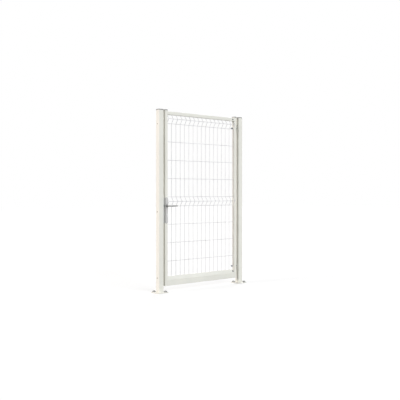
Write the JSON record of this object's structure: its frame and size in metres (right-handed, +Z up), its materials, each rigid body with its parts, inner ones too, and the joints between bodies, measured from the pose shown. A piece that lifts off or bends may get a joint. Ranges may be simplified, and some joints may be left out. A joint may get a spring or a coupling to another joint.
{
  "type": "pedestrian mesh gate with two posts",
  "caption": "Pedestrian gate: framed leaf of folded welded wire mesh with lever handle and lock, hinged between two square posts on base plates",
  "frame": {"origin": "centre of the underside of the hinge post's base plate, on the ground", "axes": "+X from the latch post towards the hinge post along the gate's width, +Y towards the back, which the leaf opens to, +Z up; the front with the mesh folds faces -Y"},
  "size_m": [1.292, 0.1862, 1.986],
  "materials": {
    "frame_coat": "satin off-white powder coat on steel tube",
    "mesh_coat": "satin off-white powder coat on galvanised wire",
    "cap_plastic": "grey moulded polyamide",
    "handle_metal": "silver anodised aluminium",
    "zinc_steel": "zinc-plated steel"
  },
  "bodies": {
    "posts": {"hinge_post": "frame_coat", "latch_post": "frame_coat", "hinge_post_plate": "frame_coat", "latch_post_plate": "frame_coat", "hinge_post_cap": "cap_plastic", "latch_post_cap": "cap_plastic", "hinge_post_inserts": "zinc_steel", "latch_post_inserts": "zinc_steel", "keeper_plate": "zinc_steel", "upper_hinge_bracket": "zinc_steel", "upper_hinge_pin": "zinc_steel", "lower_hinge_bracket": "zinc_steel", "lower_hinge_pin": "zinc_steel"},
    "leaf": {"hinge_stile": "frame_coat", "latch_stile": "frame_coat", "top_rail": "frame_coat", "bottom_rail": "frame_coat", "bottom_sill": "frame_coat", "mesh_panel": "mesh_coat", "hinge_stile_cap": "cap_plastic", "latch_stile_cap": "cap_plastic", "lock_case": "zinc_steel", "lock_forend": "zinc_steel", "lock_cylinder": "zinc_steel", "front_escutcheon": "handle_metal", "back_escutcheon": "handle_metal", "upper_eye_bolt": "zinc_steel", "upper_hinge_nut": "zinc_steel", "lower_eye_bolt": "zinc_steel", "lower_hinge_nut": "zinc_steel"},
    "handle": {"front_lever": "handle_metal", "back_lever": "handle_metal", "spindle": "zinc_steel"},
    "latch": {"latch_bolt": "zinc_steel"}
  },
  "joints": [
    {"name": "gate_swing", "type": "hinge", "parent": "posts", "child": "leaf", "pos_m": [-0.047, 0.0017, 0.939], "axis": [0, 0, -1], "range_deg": [0, 90]},
    {"name": "handle_turn", "type": "hinge", "parent": "leaf", "child": "handle", "pos_m": [-1.0845, -0.01, 0.939], "axis": [0, 1, 0], "range_deg": [0, 40], "stiffness_Nm_per_rad": 1.5, "springref_deg": -20.05},
    {"name": "latch_slide", "type": "slide", "parent": "leaf", "child": "latch", "axis": [1, 0, 0], "range_m": [0, 0.008]}
  ],
  "couplings": [
    {"joint": "latch_slide", "follows": "handle_turn", "m_per_rad": 0.01144}
  ]
}
